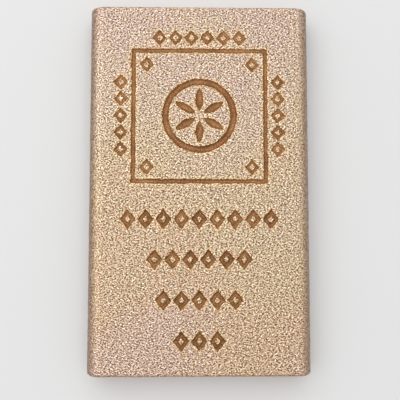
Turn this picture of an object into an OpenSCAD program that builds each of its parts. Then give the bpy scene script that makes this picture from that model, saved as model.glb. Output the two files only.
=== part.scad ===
// Copper ingot: a sawn length of flat copper bar with rolled long edges,
// eased at its ends and marked on its upper face with a shallow engraving.
// Sizes are in millimetres. The origin is at the middle of the underside:
// X runs across the bar, Y along it to its head end, and Z up to the marked face.

/* [Bar] */
// Width across the bar
bar_width = 44.5; // [42:0.1:60]
// Length between the sawn ends
bar_length = 74; // [72:0.1:110]
// Thickness from the underside to the marked face
bar_thickness = 7.9; // [6.6:0.1:16]

/* [Edges] */
// Radius of the rolled edges along the bar
rolled_edge_radius = 3; // [1.6:0.1:3.2]
// Radius of the eased edge all round each sawn end
end_edge_radius = 0.7; // [0.2:0.1:1.5]

/* [Engraving] */
// Depth of every mark below the face
engraving_depth = 0.1; // [0.05:0.05:0.6]
// Side of the square frame, over its line
frame_side = 27.3; // [26:0.1:30]
// Width of the frame's line
frame_line = 0.85; // [0.4:0.05:1.2]
// Gap between the frame and the small lozenges beside it
frame_gap = 0.65; // [0.3:0.05:1.5]

/* [Rosette] */
// Outer diameter of the ring
ring_diameter = 15; // [14.4:0.1:16.4]
// Width of the ring's line
ring_line = 1.3; // [0.6:0.05:1.5]
// Number of petals
petal_count = 6; // [4:1:8]
// Length of a petal between its points
petal_length = 4.7; // [3:0.1:5]
// Width of a petal at its middle
petal_width = 1.6; // [0.8:0.1:1.9]
// Distance of a petal's inner point from the centre
petal_start = 0.9; // [0.8:0.1:1.2]

/* [Small lozenges] */
// Width across a small lozenge
small_width = 2.9; // [2.4:0.1:3]
// Height of a small lozenge
small_height = 3.2; // [2.6:0.1:3.3]
// Width of a small lozenge's line
small_line = 0.6; // [0.4:0.05:0.8]
// Spacing of the small lozenges across the head of the bar
head_pitch = 3.2; // [3.1:0.05:4.5]
// Number of small lozenges across the head of the bar
head_count = 6; // [2:1:8]
// Spacing of the small lozenges up each side of the frame
side_pitch = 3.4; // [3.4:0.05:4.5]
// Number of small lozenges up each side of the frame
side_count = 5; // [2:1:6]
// Gap between the frame's line and the lozenge in each of its corners
corner_gap = 0.8; // [0.4:0.1:1.2]

/* [Rows] */
// Width across a row lozenge
row_lozenge_width = 3.2; // [2.8:0.1:3.3]
// Height of a row lozenge
row_lozenge_height = 4; // [3:0.1:5]
// Width of a row lozenge's line
row_line = 0.8; // [0.4:0.05:0.95]
// Spacing of the lozenges in a row
lozenge_pitch = 3.55; // [3.5:0.05:4.5]
// Spacing of the rows
row_pitch = 7.95; // [6:0.05:9]
// Gap between the frame and the first row
first_row_gap = 5.1; // [3:0.05:6]
// Number of lozenges in each row, from the frame down
row_counts = [9, 6, 5, 3]; // [1:1:9]

/* [Hidden] */
$fn = 64;
// Extra length by which a cutting shape passes the face that it cuts
overrun = 1;
// Axes of the rolled edges, from the middle of the section
rolled_edge_x = bar_width / 2 - rolled_edge_radius;
rolled_edge_z = bar_thickness / 2 - rolled_edge_radius;
row_number = len(row_counts);
// The engraving reaches from the head lozenges to the last row, centred along the bar
engraving_length = small_height + frame_gap + frame_side + first_row_gap
    + row_lozenge_height + (row_number - 1) * row_pitch;
head_row_y = (engraving_length - small_height) / 2;
frame_y = head_row_y - small_height / 2 - frame_gap - frame_side / 2;
first_row_y = frame_y - frame_side / 2 - first_row_gap - row_lozenge_height / 2;
side_column_x = frame_side / 2 + frame_gap + small_width / 2;
frame_inner_half = frame_side / 2 - frame_line;
corner_x = frame_inner_half - corner_gap - small_width / 2;
corner_y = frame_inner_half - corner_gap - small_height / 2;
copper = [0.78, 0.62, 0.48];

// A rectangle with round corners, centred
module rounded_rectangle(width, height, radius) {
    square([width - 2 * radius, height], center = true);
    square([width, height - 2 * radius], center = true);
    for (x = [-1, 1], y = [-1, 1])
        translate([x * (width / 2 - radius), y * (height / 2 - radius)])
            circle(radius);
}

// A rhombus on its points, centred
module rhombus(half_width, half_height)
    polygon([[half_width, 0], [0, half_height], [-half_width, 0], [0, -half_height]]);

// The outline of a rhombus, drawn with a line of even width
module lozenge(width, height, line) {
    side = norm([width, height]) / 2;
    difference() {
        rhombus(width / 2, height / 2);
        rhombus(width / 2 - 2 * line * side / height, height / 2 - 2 * line * side / width);
    }
}

// A line of lozenges along X, centred
module lozenge_row(count, pitch, width, height, line)
    for (i = [0 : count - 1])
        translate([(i - (count - 1) / 2) * pitch, 0])
            lozenge(width, height, line);

// A column of small lozenges along Y, centred
module small_column(count, pitch)
    for (i = [0 : count - 1])
        translate([0, (i - (count - 1) / 2) * pitch])
            lozenge(small_width, small_height, small_line);

module square_frame()
    difference() {
        square(frame_side, center = true);
        square(2 * frame_inner_half, center = true);
    }

// One petal, two equal arcs between its points, with its inner point near the origin
module petal() {
    arc_radius = (petal_length ^ 2 + petal_width ^ 2) / (4 * petal_width);
    translate([petal_start + petal_length / 2, 0])
        intersection_for(side = [-1, 1])
            translate([0, side * (arc_radius - petal_width / 2)])
                circle(arc_radius);
}

module rosette() {
    difference() {
        circle(d = ring_diameter);
        circle(d = ring_diameter - 2 * ring_line);
    }
    for (i = [0 : petal_count - 1])
        rotate(90 + i * 360 / petal_count)
            petal();
}

// Every mark on the face, seen from above
module engraving() {
    translate([0, head_row_y])
        lozenge_row(head_count, head_pitch, small_width, small_height, small_line);
    translate([0, frame_y]) {
        square_frame();
        rosette();
        for (x = [-1, 1]) {
            translate([x * side_column_x, 0])
                small_column(side_count, side_pitch);
            for (y = [-1, 1])
                translate([x * corner_x, y * corner_y])
                    lozenge(small_width, small_height, small_line);
        }
    }
    for (i = [0 : row_number - 1])
        translate([0, first_row_y - i * row_pitch])
            lozenge_row(row_counts[i], lozenge_pitch,
                row_lozenge_width, row_lozenge_height, row_line);
}

// The round of one rolled edge, a post along Y with eased ends, centred
module rolled_edge()
    rotate([90, 0, 0])
        rotate_extrude()
            intersection() {
                rounded_rectangle(2 * rolled_edge_radius, bar_length, end_edge_radius);
                translate([0, -bar_length / 2])
                    square([rolled_edge_radius, bar_length]);
            }

// The bar before it is marked, its sawn ends eased all round the rolled section
module plain_bar()
    translate([0, 0, bar_thickness / 2]) {
        rotate([90, 0, 90])
            linear_extrude(2 * rolled_edge_x, center = true)
                rounded_rectangle(bar_length, bar_thickness, end_edge_radius);
        linear_extrude(2 * rolled_edge_z, center = true)
            rounded_rectangle(bar_width, bar_length, end_edge_radius);
        for (x = [-1, 1], z = [-1, 1])
            translate([x * rolled_edge_x, 0, z * rolled_edge_z])
                rolled_edge();
    }

module ingot()
    color(copper)
        difference() {
            plain_bar();
            translate([0, 0, bar_thickness - engraving_depth])
                linear_extrude(engraving_depth + overrun)
                    engraving();
        }

ingot();
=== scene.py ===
import math
import random

import bmesh
import bpy
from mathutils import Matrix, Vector, noise
from mathutils.kdtree import KDTree


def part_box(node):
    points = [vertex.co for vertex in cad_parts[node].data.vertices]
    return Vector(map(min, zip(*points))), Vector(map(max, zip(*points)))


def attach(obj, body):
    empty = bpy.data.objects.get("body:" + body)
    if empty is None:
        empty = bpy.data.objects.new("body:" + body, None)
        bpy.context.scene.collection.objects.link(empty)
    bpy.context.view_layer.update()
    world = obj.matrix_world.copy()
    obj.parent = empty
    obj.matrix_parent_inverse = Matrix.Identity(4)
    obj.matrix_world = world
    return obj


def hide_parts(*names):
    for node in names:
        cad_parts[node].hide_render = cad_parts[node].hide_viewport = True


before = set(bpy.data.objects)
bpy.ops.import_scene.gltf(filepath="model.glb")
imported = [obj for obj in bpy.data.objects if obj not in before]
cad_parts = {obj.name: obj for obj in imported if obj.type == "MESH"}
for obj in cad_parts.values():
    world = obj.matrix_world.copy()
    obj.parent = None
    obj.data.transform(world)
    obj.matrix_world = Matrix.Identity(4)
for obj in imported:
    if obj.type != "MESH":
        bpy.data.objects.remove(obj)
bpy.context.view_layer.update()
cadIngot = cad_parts["ingot"]
barLow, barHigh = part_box("ingot")
barSize = barHigh - barLow
barCentre = (barLow + barHigh) / 2
barHalf = barSize / 2
scene = bpy.context.scene
print("frame loaded, the bar measures", [round(1000 * s, 2) for s in barSize], "mm")


# shader nodes

noiseSpan = (0.25, 0.75)    # most of a noise's values lie between these


def linear(red, green, blue):
    # an sRGB colour out of 255, as the linear colour that a shader takes
    shares = [c / 255 for c in (red, green, blue)]
    return [s / 12.92 if s <= 0.04045 else ((s + 0.055) / 1.055) ** 2.4 for s in shares] + [1]


def addNode(tree, kind, inputs, **options):
    # a shader node with its options, and with a value or a link on each named input
    made = tree.nodes.new("ShaderNode" + kind)
    for name, value in options.items():
        setattr(made, name, value)
    for name, value in inputs.items():
        if isinstance(value, bpy.types.NodeSocket):
            tree.links.new(value, made.inputs[name])
        else:
            made.inputs[name].default_value = value
    return made


def addMath(tree, operation, first, second=0.0):
    return addNode(tree, "Math", {0: first, 1: second}, operation=operation).outputs["Value"]


def addNoise(tree, spot, size, detail=0, roughness=0.5, dimensions="3D"):
    settings = {"Vector": spot, "Scale": 1 / size, "Detail": detail, "Roughness": roughness}
    return addNode(tree, "TexNoise", settings, noise_dimensions=dimensions).outputs["Fac"]


def addSpread(tree, spot, steps):
    # the place counted in steps, each axis with its own
    return addNode(tree, "Mapping", {"Vector": spot, "Scale": [1 / s for s in steps]}).outputs["Vector"]


def addMix(tree, share, first, second, blend="MIX"):
    mixed = addNode(tree, "MixRGB", {"Fac": share, "Color1": first, "Color2": second}, blend_type=blend)
    return mixed.outputs["Color"]


def addRamp(tree, share, stops):
    # a colour ramp through (place, colour) stops
    ramp = addNode(tree, "ValToRGB", {"Fac": share})
    band = ramp.color_ramp.elements
    while len(band) < len(stops):
        band.new(1)
    for stop, (place, colour) in zip(band, stops):
        stop.position = place
        stop.color = colour
    return ramp.outputs["Color"]


def addRange(tree, value, low, high, newLow=0.0, newHigh=1.0):
    settings = {"Value": value, "From Min": low, "From Max": high, "To Min": newLow, "To Max": newHigh}
    return addNode(tree, "MapRange", settings).outputs["Result"]


def newMaterial(name):
    material = bpy.data.materials.new(name)
    material.use_nodes = True
    return material, material.node_tree.nodes["Principled BSDF"]


def addSpot(tree, kind="Object"):
    return tree.nodes.new("ShaderNodeTexCoord").outputs[kind]


def addBump(tree, shader, height, distance):
    bump = addNode(tree, "Bump", {"Height": height, "Distance": distance, "Strength": 1})
    tree.links.new(bump.outputs["Normal"], shader.inputs["Normal"])


# copper skin: blasted grain, with painted shade in its pits and painted glints on its peaks, tints along
# the bar, painted shade on the outside of the rolled edges, and tints on the ends and beside the marks

copperSkin = {
    # pit is painted shade in the blasted pits and peak a painted glint on their tops; skin is the copper
    # between them
    "pitShade": linear(124, 85, 53),
    "skin": linear(210, 177, 143),
    "peakGlint": linear(255, 245, 225),
    "grainSpan": (0.34, 0.66),              # values of the grain at full pit and full peak
    "grainSteps": (0.00035, 0.00027, 1),    # across and along the face, and none through the thickness
    "grainTurns": (0.6, 2.0),               # radians, one for each of its two noises
    "grainGain": 1.45,                      # makes up for the contrast that they lose together
    "grainDetail": 2,
    "grainRoughness": 0.6,
    "grainHeight": 0.00028,
    "roundGrain": 0.00032,                  # on the edges and ends
    "streakSteps": (0.0003, 0.006, 0.0003),    # across, along and up a side
    "sawSteps": (0.00022, 0.001, 0.012),       # across, into and up a sawn end
    "lineDetail": 1,                        # of the streaks and saw lines
    "streakShare": 0.4,                     # of the streaks against the grain
    "streakStart": 0.9,                     # share of a rolled edge's width
    "sawShare": 0.6,                        # of the saw lines against the grain
    "sawStart": 0.4,                        # share of the easing at an end
    "calmStart": 0.7,                       # share of a rolled edge's width, or of the easing at an end
    "sideCalm": 0.7,                        # how much of the grain's colour is lost from there outward
    "sideFlat": 0.5,                        # and how much of its height
    "endCalm": 0.84,                        # the same two on the sawn ends
    "endFlat": 0.7,
    "roughness": (0.24, 0.42),              # on the peaks and in the pits
    "lengthTints": [                            # tints from foot to head, bluer towards both ends than in the middle, which multiply the colours above
        (0.0, (1, 0.98, 1.1, 1)),
        (0.22, (1, 0.97, 0.95, 1)),
        (0.45, (1, 1.02, 0.98, 1)),
        (0.75, (1, 1.03, 1.1, 1)),
        (1.0, (1, 1.01, 1.15, 1)),
    ],
    "lengthTintPatch": 0.014,
    "lengthTintWander": 0.4,                   # share of the bar's length by which the tints wander
    "fleck": 0.0006,
    "pinkFleck": (1.04, 0.975, 1.06, 1),
    "yellowFleck": (0.975, 1.025, 0.925, 1),
    "rimTint": (1.28, 1.18, 1.0, 1),        # beside the engraving
    "edgeShadeTint": (0.5, 0.44, 0.44, 1),       # painted shade darkening the outside of the rolled edges, partly the pinker, duller tone of a drawn edge
    "edgeShadeStart": 0.4,                   # share of a rolled edge's width
    "endTint": (0.88, 0.67, 0.57, 1),       # on the sawn ends
}


def addGrain(tree, spot, look):
    # two flat noises over the faces, laid across each other
    fine = {"detail": look["grainDetail"], "roughness": look["grainRoughness"]}
    spread = addSpread(tree, spot, look["grainSteps"])
    layers = []
    for turn in look["grainTurns"]:
        turned = addNode(tree, "VectorRotate", {"Vector": spread, "Angle": turn}).outputs["Vector"]
        layers.append(addNoise(tree, turned, 1, dimensions="2D", **fine))
    reach = look["grainGain"] / 2
    return addRange(tree, addMath(tree, "ADD", *layers), 0, len(layers), 0.5 - reach, 0.5 + reach)


def addSkinTint(tree, spot, look, along, edge, sawn):
    reach = look["lengthTintWander"] / 2
    wander = addRange(tree, addNoise(tree, spot, look["lengthTintPatch"]), *noiseSpan, -reach, reach)
    place = addMath(tree, "ADD", addRange(tree, along, -barHalf.y, barHalf.y), wander)
    fleck = addRange(tree, addNoise(tree, spot, look["fleck"]), *noiseSpan)
    flecks = addMix(tree, fleck, look["pinkFleck"], look["yellowFleck"])
    tint = addMix(tree, 1, addRamp(tree, place, look["lengthTints"]), flecks, "MULTIPLY")
    rim = addNode(tree, "Attribute", {}, attribute_name="rim").outputs["Fac"]
    tint = addMix(tree, rim, tint, look["rimTint"])
    # painted shade: the outside of the rolled edges darkened, partly the pinker tone of a drawn edge
    tint = addMix(tree, addRange(tree, edge, look["edgeShadeStart"], 1), tint, look["edgeShadeTint"])
    return addMix(tree, sawn, tint, look["endTint"])


def makeCopperSkin(look, barLook):
    material, shader = newMaterial("blasted copper")
    tree = material.node_tree
    spot = addSpot(tree)
    place = addNode(tree, "SeparateXYZ", {"Vector": spot}).outputs

    # how far round a rolled edge, and how far into the easing at an end, to the bottom of the deepest pits
    outside = barHalf - Vector((1, 1, 1)) * (barLook["pebbleDepth"] + barLook["pitDepth"])
    across = addMath(tree, "ABSOLUTE", place["X"])
    along = addMath(tree, "ABSOLUTE", place["Y"])
    edge = addRange(tree, across, barHalf.x - barLook["rolledRadius"], outside.x)
    end = addRange(tree, along, barHalf.y - barLook["endRadius"], outside.y)
    outward = addMath(tree, "MAXIMUM", edge, end)
    sawn = addRange(tree, end, look["sawStart"], 1)
    calm = addRange(tree, outward, look["calmStart"], 1)

    # blasted grain, with streaks left on the sides and saw lines on the ends
    roundGrain = addNoise(tree, spot, look["roundGrain"], look["grainDetail"], look["grainRoughness"])
    grain = addMix(tree, outward, addGrain(tree, spot, look), roundGrain)
    streaks = addNoise(tree, addSpread(tree, spot, look["streakSteps"]), 1, look["lineDetail"])
    sawLines = addNoise(tree, addSpread(tree, spot, look["sawSteps"]), 1, look["lineDetail"])
    side = addRange(tree, edge, look["streakStart"], 1)
    relief = addMix(tree, addMath(tree, "MULTIPLY", side, look["streakShare"]), grain, streaks)
    relief = addMix(tree, addMath(tree, "MULTIPLY", sawn, look["sawShare"]), relief, sawLines)

    low, high = look["grainSpan"]
    middle = (low + high) / 2
    flat = addRange(tree, sawn, 0, 1, look["sideFlat"], look["endFlat"])
    relief = addMix(tree, addMath(tree, "MULTIPLY", calm, flat), relief, (middle, middle, middle, 1))
    # the grain's colour, with painted shade in its pits and painted glints on its peaks
    shade = addRamp(tree, grain, [(low, look["pitShade"]), (middle, look["skin"]), (high, look["peakGlint"])])
    still = addRange(tree, sawn, 0, 1, look["sideCalm"], look["endCalm"])
    shade = addMix(tree, addMath(tree, "MULTIPLY", calm, still), shade, look["skin"])
    tint = addSkinTint(tree, spot, look, place["Y"], edge, sawn)
    tree.links.new(addMix(tree, 1, shade, tint, "MULTIPLY"), shader.inputs["Base Color"])
    onPeak, inPit = look["roughness"]
    tree.links.new(addRange(tree, relief, low, high, inPit, onPeak), shader.inputs["Roughness"])
    shader.inputs["Metallic"].default_value = 1
    addBump(tree, shader, relief, look["grainHeight"])
    print("copper skin mixed")
    return material


# oxide: the brown that the marking tool leaves in the engraving

brownOxide = {
    "dark": linear(104, 67, 36),
    "brown": linear(136, 93, 56),
    "light": linear(160, 116, 77),
    "footTint": (0.94, 0.91, 0.86, 1),
    "headTint": (1.18, 1.16, 1.12, 1),
    "grain": 0.0003,
    "grainDetail": 1,
    "grainHeight": 0.00004,
    "patch": 0.003,
    "patchShare": 0.4,           # against the grain's own 1
    "roughness": (0.5, 0.7),     # on the peaks and in the pits
    "metallic": 0.7,
}


def makeBrownOxide(look):
    material, shader = newMaterial("engraved oxide")
    tree = material.node_tree
    spot = addSpot(tree)
    grain = addNoise(tree, spot, look["grain"], look["grainDetail"])
    reach = look["patchShare"] / 2
    patch = addRange(tree, addNoise(tree, spot, look["patch"]), 0, 1, -reach, reach)
    burn = addRange(tree, addMath(tree, "ADD", grain, patch), *noiseSpan)
    colour = addRamp(tree, burn, [(0, look["dark"]), (0.5, look["brown"]), (1, look["light"])])
    along = addNode(tree, "SeparateXYZ", {"Vector": spot}).outputs["Y"]
    tint = addMix(tree, addRange(tree, along, -barHalf.y, barHalf.y), look["footTint"], look["headTint"])
    tree.links.new(addMix(tree, 1, colour, tint, "MULTIPLY"), shader.inputs["Base Color"])
    onPeak, inPit = look["roughness"]
    tree.links.new(addRange(tree, grain, *noiseSpan, inPit, onPeak), shader.inputs["Roughness"])
    shader.inputs["Metallic"].default_value = look["metallic"]
    addBump(tree, shader, grain, look["grainHeight"])
    print("engraved oxide mixed")
    return material


# bar: a close grid of quads, rounded like the solid and then blasted

blastedBar = {
    "gridStep": 0.00033,         # side of the quads before blasting
    "rolledRadius": 0.003,       # long edges
    "endRadius": 0.0007,         # edge all round each sawn end
    "pebbleSize": 0.00073,       # across one pebble of the blasted skin
    "pebbleTop": 0.5,            # value of the noise from which a pebble reaches the solid's surface
    "pebbleDepth": 0.00006,
    "pitDepth": 0.00004,         # single pits, one vertex wide
    "drift": 0.00007,            # sideways wander of the grid
    "seed": 29,
}


def sectionReach(point, radius):
    # how far a point lies out past the centres of the rolled edges, across and up
    return [abs(point[axis] - barCentre[axis]) - (barHalf[axis] - radius) for axis in (0, 2)]


def pullIn(point, axes, moves):
    for axis, move in zip(axes, moves):
        point[axis] -= math.copysign(move, point[axis] - barCentre[axis])


def rollEdge(point, radius):
    # each square shell round an edge's centre becomes a round one
    reach = sectionReach(point, radius)
    if min(reach) > 0:
        pull = 1 - max(reach) / math.hypot(*reach)
        pullIn(point, (0, 2), [r * pull for r in reach])


def easeEnd(point, radius, easing):
    # the same between the outline of the section and the sawn end
    outward = [max(0, r) for r in sectionReach(point, radius)]
    proud = math.hypot(*outward) - (radius - easing)
    past = abs(point.y - barCentre.y) - (barHalf.y - easing)
    if min(proud, past) > 0:
        pull = 1 - max(proud, past) / math.hypot(proud, past)
        share = proud * pull / math.hypot(*outward)
        pullIn(point, (0, 1, 2), (outward[0] * share, past * pull, outward[1] * share))


def makeBar(look):
    bar = bmesh.new()
    bmesh.ops.create_cube(bar, size=1)
    bmesh.ops.scale(bar, vec=barSize, verts=bar.verts)
    bmesh.ops.translate(bar, vec=barCentre, verts=bar.verts)
    for axis in range(3):
        along = [e for e in bar.edges if abs(e.verts[0].co[axis] - e.verts[1].co[axis]) > barHalf[axis]]
        cuts = round(barSize[axis] / look["gridStep"]) - 1
        bmesh.ops.subdivide_edges(bar, edges=along, cuts=cuts, use_grid_fill=True)
    for vert in bar.verts:
        rollEdge(vert.co, look["rolledRadius"])
        easeEnd(vert.co, look["rolledRadius"], look["endRadius"])
    bar.normal_update()
    print("bar rounded,", len(bar.faces), "quads")
    return bar


def blastBar(bar, look):
    draw = random.Random(look["seed"])
    moves = []
    for vert in bar.verts:
        pebble = noise.noise(vert.co / look["pebbleSize"])
        sunk = min(1, max(0, look["pebbleTop"] - pebble))
        depth = look["pebbleDepth"] * sunk + look["pitDepth"] * draw.random()
        wander = Vector([draw.uniform(-1, 1) for axis in range(3)]) * look["drift"]
        wander -= vert.normal * wander.dot(vert.normal)
        moves.append(wander - vert.normal * depth)
    for vert, move in zip(bar.verts, moves):
        vert.co += move
        for axis in range(3):
            vert.co[axis] = min(barHigh[axis], max(barLow[axis], vert.co[axis]))
    bar.normal_update()
    print("bar blasted")


# engraving: cut with a tool drawn from the solid's own recess floors

engravingTool = {
    "shallowest": 0.00001,       # a recess floor lies between these depths under the face
    "deepest": 0.0007,
    "levelNormal": 0.99,         # least upward part of a recess floor's normal
    "weld": 0.000001,            # points this close are one
    "sliver": 0.000004,          # edges shorter than this are closed after the cut
    "step": 0.00025,             # length of a stretch of outline
    "enlarging": 1000,           # while the edges across a mark are turned
    "tremor": 0.00016,           # unsteadiness of the outline
    "tremorSize": 0.0005,
    "tremorLayers": (0, 37),     # heights in the noise that shake the outline across and along
    "smoothing": 0.2,            # of each corner of the outline
    "height": 0.001,             # from the recess floor to the top of the tool
    "rimWidth": 0.0007,          # copper warmed on each side of a mark
    "sharpAngle": 50,            # degrees, over which an edge stays crisp
}


def drawMarks(look):
    # the recess floors, with their outlines in short stretches
    marks = bmesh.new()
    marks.from_mesh(cadIngot.data)
    bmesh.ops.remove_doubles(marks, verts=marks.verts, dist=look["weld"])

    def isRecessFloor(face):
        depths = [barHigh.z - v.co.z for v in face.verts]
        level = face.normal.z > look["levelNormal"]
        return level and look["shallowest"] < min(depths) and max(depths) < look["deepest"]

    bmesh.ops.delete(marks, geom=[f for f in marks.faces if not isRecessFloor(f)], context="FACES")
    byCuts = {}
    for edge in marks.edges:
        if edge.is_boundary:
            byCuts.setdefault(round(edge.calc_length() / look["step"]) - 1, []).append(edge)
    for cuts, edges in sorted(byCuts.items()):
        if cuts > 0:
            bmesh.ops.subdivide_edges(marks, edges=edges, cuts=cuts)

    # short edges across each mark, turned at an enlarged size because the operator fails on tiny lengths
    bmesh.ops.triangulate(marks, faces=marks.faces)
    across = [e for e in marks.edges if not e.is_boundary]
    bmesh.ops.scale(marks, vec=[look["enlarging"]] * 3, verts=marks.verts)
    bmesh.ops.beautify_fill(marks, faces=marks.faces, edges=across, method="AREA")
    bmesh.ops.scale(marks, vec=[1 / look["enlarging"]] * 3, verts=marks.verts)
    return marks


def shakeOutlines(marks, look):
    for vert in marks.verts:
        spot = vert.co / look["tremorSize"]
        shake = [noise.noise(spot + Vector((0, 0, layer))) for layer in look["tremorLayers"]]
        vert.co += Vector((*shake, 0)) * look["tremor"]
    eased = []
    for vert in marks.verts:
        beside = [e.other_vert(vert).co for e in vert.link_edges if e.is_boundary]
        eased.append(vert.co.lerp(sum(beside, Vector()) / len(beside), look["smoothing"]))
    for vert, place in zip(marks.verts, eased):
        vert.co = place


def makeEngravingTool(look):
    tool = drawMarks(look)
    solidArea = sum(f.calc_area() for f in tool.faces)
    shakeOutlines(tool, look)
    share = sum(f.calc_area() for f in tool.faces) / solidArea
    lid = bmesh.ops.extrude_face_region(tool, geom=tool.faces[:])
    raised = [v for v in lid["geom"] if isinstance(v, bmesh.types.BMVert)]
    bmesh.ops.translate(tool, vec=(0, 0, look["height"]), verts=raised)
    bmesh.ops.recalc_face_normals(tool, faces=tool.faces)
    print("engraving tool made,", len(tool.faces), "faces")
    print("its floors cover", round(share, 3), "of the solid's marked area")
    return tool


def meshObject(name, shape, material):
    mesh = bpy.data.meshes.new(name)
    shape.to_mesh(mesh)
    shape.free()
    mesh.materials.append(material)
    piece = bpy.data.objects.new(name, mesh)
    scene.collection.objects.link(piece)
    return piece


def sortFaces(shape):
    # by their points, since the clean-up after the cut leaves them in an order that varies
    shape.verts.index_update()
    count = len(shape.verts)

    def rank(face):
        first, second, third = sorted(v.index for v in face.verts)[:3]
        return (first * count + second) * count + third

    shape.faces.sort(key=rank)


def cutEngraving(piece, tool, sliver):
    cut = piece.modifiers.new("engraving", "BOOLEAN")
    cut.operation = "DIFFERENCE"
    cut.solver = "MANIFOLD"
    cut.material_mode = "TRANSFER"
    cut.object = tool
    graph = bpy.context.evaluated_depsgraph_get()
    finished = bpy.data.meshes.new_from_object(piece.evaluated_get(graph))
    piece.modifiers.clear()
    piece.data = finished
    bpy.data.objects.remove(tool)

    # the cut leaves slivers, and points part way along an edge
    shape = bmesh.new()
    shape.from_mesh(finished)
    bmesh.ops.dissolve_degenerate(shape, dist=sliver, edges=shape.edges)
    bmesh.ops.dissolve_verts(shape, verts=[v for v in shape.verts if len(v.link_edges) == 2])
    sortFaces(shape)
    shape.to_mesh(finished)
    shape.free()
    print("engraving cut,", len(finished.polygons), "faces")


def warmRims(piece, oxide, width):
    # a point attribute, 1 at the engraving's outline and 0 at a rim's width from it
    mesh = piece.data
    oxideSlot = mesh.materials.find(oxide.name)
    marked = {v for face in mesh.polygons if face.material_index == oxideSlot for v in face.vertices}
    outline = KDTree(len(marked))
    for place in sorted(marked):
        outline.insert(mesh.vertices[place].co, place)
    outline.balance()
    rim = mesh.attributes.new("rim", "FLOAT", "POINT")
    for vert in mesh.vertices:
        rim.data[vert.index].value = max(0, 1 - outline.find(vert.co)[2] / width)
    print("rims warmed")


bar = makeBar(blastedBar)
blastBar(bar, blastedBar)
skin = makeCopperSkin(copperSkin, blastedBar)
oxide = makeBrownOxide(brownOxide)
ingot = meshObject("blasted_ingot", bar, skin)
tool = meshObject("engraving_tool", makeEngravingTool(engravingTool), oxide)
cutEngraving(ingot, tool, engravingTool["sliver"])
warmRims(ingot, oxide, engravingTool["rimWidth"])
ingot.data.shade_smooth()
ingot.data.set_sharp_from_angle(angle=math.radians(engravingTool["sharpAngle"]))
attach(ingot, "root")
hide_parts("ingot")


# floor, light and camera

studio = {
    "floorSize": 4,
    "floorColour": 0.62,
    "floorRoughness": 0.9,
    "domeTop": (-0.08, 0.36, 0.93),    # heading of the dome's brightest part
    "domeBright": 0.98,          # brightness there, where 1 is white
    "domeDim": 0.2,              # and straight across from it
    "domeCurve": 1.6,            # over 1 holds the brightness together round the top
    "boxSize": 1.0,
    "boxPlace": (-0.22, 0.3, 0.6),
    "boxLight": 1.4,             # brightness of the softbox's face
}


def makeFloor(look):
    shape = bmesh.new()
    bmesh.ops.create_grid(shape, x_segments=1, y_segments=1, size=look["floorSize"] / 2)
    paint, shader = newMaterial("pale floor")
    shader.inputs["Base Color"].default_value = [look["floorColour"]] * 3 + [1]
    shader.inputs["Roughness"].default_value = look["floorRoughness"]
    meshObject("floor", shape, paint)
    print("floor laid")


def makeLight(look):
    # a pale dome, brightest overhead towards the head of the bar
    world = bpy.data.worlds.new("studio")
    world.use_nodes = True
    tree = world.node_tree
    heading = addSpot(tree, "Generated")
    top = Vector(look["domeTop"]).normalized()
    facing = addNode(tree, "VectorMath", {0: heading, 1: top}, operation="DOT_PRODUCT").outputs["Value"]
    rise = addMath(tree, "POWER", addRange(tree, facing, -1, 1), look["domeCurve"])
    level = addRange(tree, rise, 0, 1, look["domeDim"], look["domeBright"])
    background = tree.nodes["Background"]
    background.inputs["Color"].default_value = (1, 1, 1, 1)
    tree.links.new(level, background.inputs["Strength"])
    scene.world = world

    lamp = bpy.data.lights.new("softbox", "AREA")
    lamp.size = look["boxSize"]
    lamp.energy = look["boxLight"] * math.pi * look["boxSize"] ** 2
    softbox = bpy.data.objects.new("softbox", lamp)
    softbox.location = look["boxPlace"]
    scene.collection.objects.link(softbox)
    print("studio lit")


camera = {
    "focal": 54,                 # millimetres, on a 36 mm sensor
    "sensor": 36,
    "nearest": 0.01,
    "distance": 0.1189,
    "aim": (0.0001, -0.0024),    # on the marked face
    "leanToFoot": 4.1,           # degrees from straight down
    "leanToLeft": 1.19,
}


def makeCamera(look):
    lens = bpy.data.cameras.new("camera")
    lens.lens = look["focal"]
    lens.sensor_width = look["sensor"]
    lens.clip_start = look["nearest"]
    eye = bpy.data.objects.new("camera", lens)
    eye.rotation_euler = (math.radians(look["leanToFoot"]), -math.radians(look["leanToLeft"]), 0)
    back = Vector((0, 0, look["distance"]))
    back.rotate(eye.rotation_euler)
    eye.location = Vector((*look["aim"], barHigh.z)) + back
    scene.collection.objects.link(eye)
    scene.camera = eye
    print("camera set")


makeFloor(studio)
makeLight(studio)
makeCamera(camera)
scene.view_settings.view_transform = "Standard"
